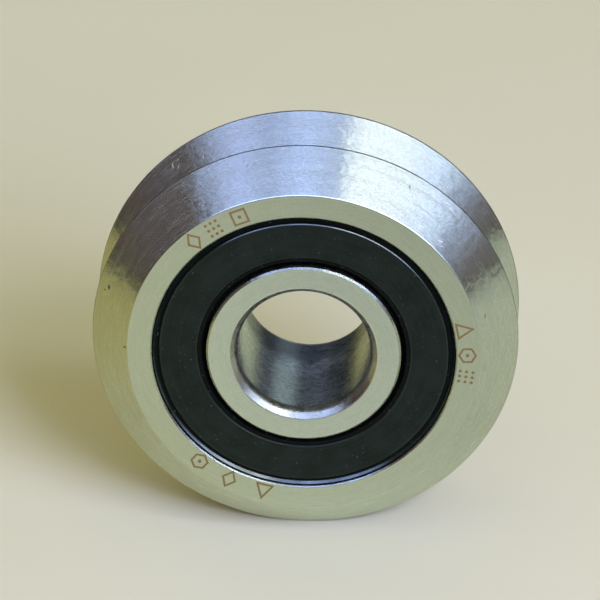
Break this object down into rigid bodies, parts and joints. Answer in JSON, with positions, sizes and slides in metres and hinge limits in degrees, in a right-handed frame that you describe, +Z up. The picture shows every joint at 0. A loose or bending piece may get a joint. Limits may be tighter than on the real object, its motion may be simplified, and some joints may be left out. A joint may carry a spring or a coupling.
{
  "type": "v-groove track roller",
  "caption": "Sealed ball bearing track roller with a V groove round its outer ring, bevelled edges and a plain through bore.",
  "frame": {"origin": "centre of the bore, midway between the side faces", "axes": "+Y along the wheel's axis, from the front face to the rear face; +Z up; +X to the right seen from the front"},
  "size_m": [0.0308, 0.011, 0.0308],
  "materials": {
    "ring_steel": "ground, with fine circumferential grain",
    "ball_steel": "polished",
    "insert_steel": "stamped sheet",
    "seal_rubber": "moulded, matte",
    "cage_nylon": "moulded nylon, natural colour"
  },
  "bodies": {
    "inner_ring": {"inner_ring": "ring_steel"},
    "wheel": {"outer_ring": "ring_steel", "seal_front": "seal_rubber", "seal_rear": "seal_rubber", "seal_insert_front": "insert_steel", "seal_insert_rear": "insert_steel"},
    "cage_front": {"cage_front": "cage_nylon"},
    "ball_front_1": {"ball_front_1": "ball_steel"},
    "ball_front_2": {"ball_front_2": "ball_steel"},
    "ball_front_3": {"ball_front_3": "ball_steel"},
    "ball_front_4": {"ball_front_4": "ball_steel"},
    "ball_front_5": {"ball_front_5": "ball_steel"},
    "ball_front_6": {"ball_front_6": "ball_steel"},
    "ball_front_7": {"ball_front_7": "ball_steel"},
    "ball_front_8": {"ball_front_8": "ball_steel"},
    "ball_front_9": {"ball_front_9": "ball_steel"},
    "cage_rear": {"cage_rear": "cage_nylon"},
    "ball_rear_1": {"ball_rear_1": "ball_steel"},
    "ball_rear_2": {"ball_rear_2": "ball_steel"},
    "ball_rear_3": {"ball_rear_3": "ball_steel"},
    "ball_rear_4": {"ball_rear_4": "ball_steel"},
    "ball_rear_5": {"ball_rear_5": "ball_steel"},
    "ball_rear_6": {"ball_rear_6": "ball_steel"},
    "ball_rear_7": {"ball_rear_7": "ball_steel"},
    "ball_rear_8": {"ball_rear_8": "ball_steel"},
    "ball_rear_9": {"ball_rear_9": "ball_steel"}
  },
  "joints": [
    {"name": "wheel_spin", "type": "hinge", "parent": "inner_ring", "child": "wheel", "pos_m": [0, 0, 0], "axis": [0, 1, 0], "continuous": true},
    {"name": "cage_front_spin", "type": "hinge", "parent": "inner_ring", "child": "cage_front", "pos_m": [0, 0, 0], "axis": [0, 1, 0], "continuous": true},
    {"name": "ball_front_1_roll", "type": "hinge", "parent": "cage_front", "child": "ball_front_1", "pos_m": [0, -0.00215, 0.0083], "axis": [0, 0.866, -0.5], "continuous": true},
    {"name": "ball_front_2_roll", "type": "hinge", "parent": "cage_front", "child": "ball_front_2", "pos_m": [-0.00534, -0.00215, 0.00636], "axis": [0.3214, 0.866, -0.383], "continuous": true},
    {"name": "ball_front_3_roll", "type": "hinge", "parent": "cage_front", "child": "ball_front_3", "pos_m": [-0.00817, -0.00215, 0.00144], "axis": [0.4924, 0.866, -0.0868], "continuous": true},
    {"name": "ball_front_4_roll", "type": "hinge", "parent": "cage_front", "child": "ball_front_4", "pos_m": [-0.00719, -0.00215, -0.00415], "axis": [0.433, 0.866, 0.25], "continuous": true},
    {"name": "ball_front_5_roll", "type": "hinge", "parent": "cage_front", "child": "ball_front_5", "pos_m": [-0.00284, -0.00215, -0.0078], "axis": [0.171, 0.866, 0.4698], "continuous": true},
    {"name": "ball_front_6_roll", "type": "hinge", "parent": "cage_front", "child": "ball_front_6", "pos_m": [0.00284, -0.00215, -0.0078], "axis": [-0.171, 0.866, 0.4698], "continuous": true},
    {"name": "ball_front_7_roll", "type": "hinge", "parent": "cage_front", "child": "ball_front_7", "pos_m": [0.00719, -0.00215, -0.00415], "axis": [-0.433, 0.866, 0.25], "continuous": true},
    {"name": "ball_front_8_roll", "type": "hinge", "parent": "cage_front", "child": "ball_front_8", "pos_m": [0.00817, -0.00215, 0.00144], "axis": [-0.4924, 0.866, -0.0868], "continuous": true},
    {"name": "ball_front_9_roll", "type": "hinge", "parent": "cage_front", "child": "ball_front_9", "pos_m": [0.00534, -0.00215, 0.00636], "axis": [-0.3214, 0.866, -0.383], "continuous": true},
    {"name": "cage_rear_spin", "type": "hinge", "parent": "inner_ring", "child": "cage_rear", "pos_m": [0, 0, 0], "axis": [0, 1, 0], "continuous": true},
    {"name": "ball_rear_1_roll", "type": "hinge", "parent": "cage_rear", "child": "ball_rear_1", "pos_m": [-0.00284, 0.00215, 0.0078], "axis": [-0.171, 0.866, 0.4698], "continuous": true},
    {"name": "ball_rear_2_roll", "type": "hinge", "parent": "cage_rear", "child": "ball_rear_2", "pos_m": [-0.00719, 0.00215, 0.00415], "axis": [-0.433, 0.866, 0.25], "continuous": true},
    {"name": "ball_rear_3_roll", "type": "hinge", "parent": "cage_rear", "child": "ball_rear_3", "pos_m": [-0.00817, 0.00215, -0.00144], "axis": [-0.4924, 0.866, -0.0868], "continuous": true},
    {"name": "ball_rear_4_roll", "type": "hinge", "parent": "cage_rear", "child": "ball_rear_4", "pos_m": [-0.00534, 0.00215, -0.00636], "axis": [-0.3214, 0.866, -0.383], "continuous": true},
    {"name": "ball_rear_5_roll", "type": "hinge", "parent": "cage_rear", "child": "ball_rear_5", "pos_m": [0, 0.00215, -0.0083], "axis": [0, 0.866, -0.5], "continuous": true},
    {"name": "ball_rear_6_roll", "type": "hinge", "parent": "cage_rear", "child": "ball_rear_6", "pos_m": [0.00534, 0.00215, -0.00636], "axis": [0.3214, 0.866, -0.383], "continuous": true},
    {"name": "ball_rear_7_roll", "type": "hinge", "parent": "cage_rear", "child": "ball_rear_7", "pos_m": [0.00817, 0.00215, -0.00144], "axis": [0.4924, 0.866, -0.0868], "continuous": true},
    {"name": "ball_rear_8_roll", "type": "hinge", "parent": "cage_rear", "child": "ball_rear_8", "pos_m": [0.00719, 0.00215, 0.00415], "axis": [0.433, 0.866, 0.25], "continuous": true},
    {"name": "ball_rear_9_roll", "type": "hinge", "parent": "cage_rear", "child": "ball_rear_9", "pos_m": [0.00284, 0.00215, 0.0078], "axis": [0.171, 0.866, 0.4698], "continuous": true}
  ],
  "couplings": [
    {"joint": "cage_front_spin", "follows": "wheel_spin", "ratio": 0.59318},
    {"joint": "ball_front_1_roll", "follows": "wheel_spin", "ratio": 2.2429},
    {"joint": "ball_front_2_roll", "follows": "wheel_spin", "ratio": 2.2429},
    {"joint": "ball_front_3_roll", "follows": "wheel_spin", "ratio": 2.2429},
    {"joint": "ball_front_4_roll", "follows": "wheel_spin", "ratio": 2.2429},
    {"joint": "ball_front_5_roll", "follows": "wheel_spin", "ratio": 2.2429},
    {"joint": "ball_front_6_roll", "follows": "wheel_spin", "ratio": 2.2429},
    {"joint": "ball_front_7_roll", "follows": "wheel_spin", "ratio": 2.2429},
    {"joint": "ball_front_8_roll", "follows": "wheel_spin", "ratio": 2.2429},
    {"joint": "ball_front_9_roll", "follows": "wheel_spin", "ratio": 2.2429},
    {"joint": "cage_rear_spin", "follows": "wheel_spin", "ratio": 0.59318},
    {"joint": "ball_rear_1_roll", "follows": "wheel_spin", "ratio": 2.2429},
    {"joint": "ball_rear_2_roll", "follows": "wheel_spin", "ratio": 2.2429},
    {"joint": "ball_rear_3_roll", "follows": "wheel_spin", "ratio": 2.2429},
    {"joint": "ball_rear_4_roll", "follows": "wheel_spin", "ratio": 2.2429},
    {"joint": "ball_rear_5_roll", "follows": "wheel_spin", "ratio": 2.2429},
    {"joint": "ball_rear_6_roll", "follows": "wheel_spin", "ratio": 2.2429},
    {"joint": "ball_rear_7_roll", "follows": "wheel_spin", "ratio": 2.2429},
    {"joint": "ball_rear_8_roll", "follows": "wheel_spin", "ratio": 2.2429},
    {"joint": "ball_rear_9_roll", "follows": "wheel_spin", "ratio": 2.2429}
  ]
}
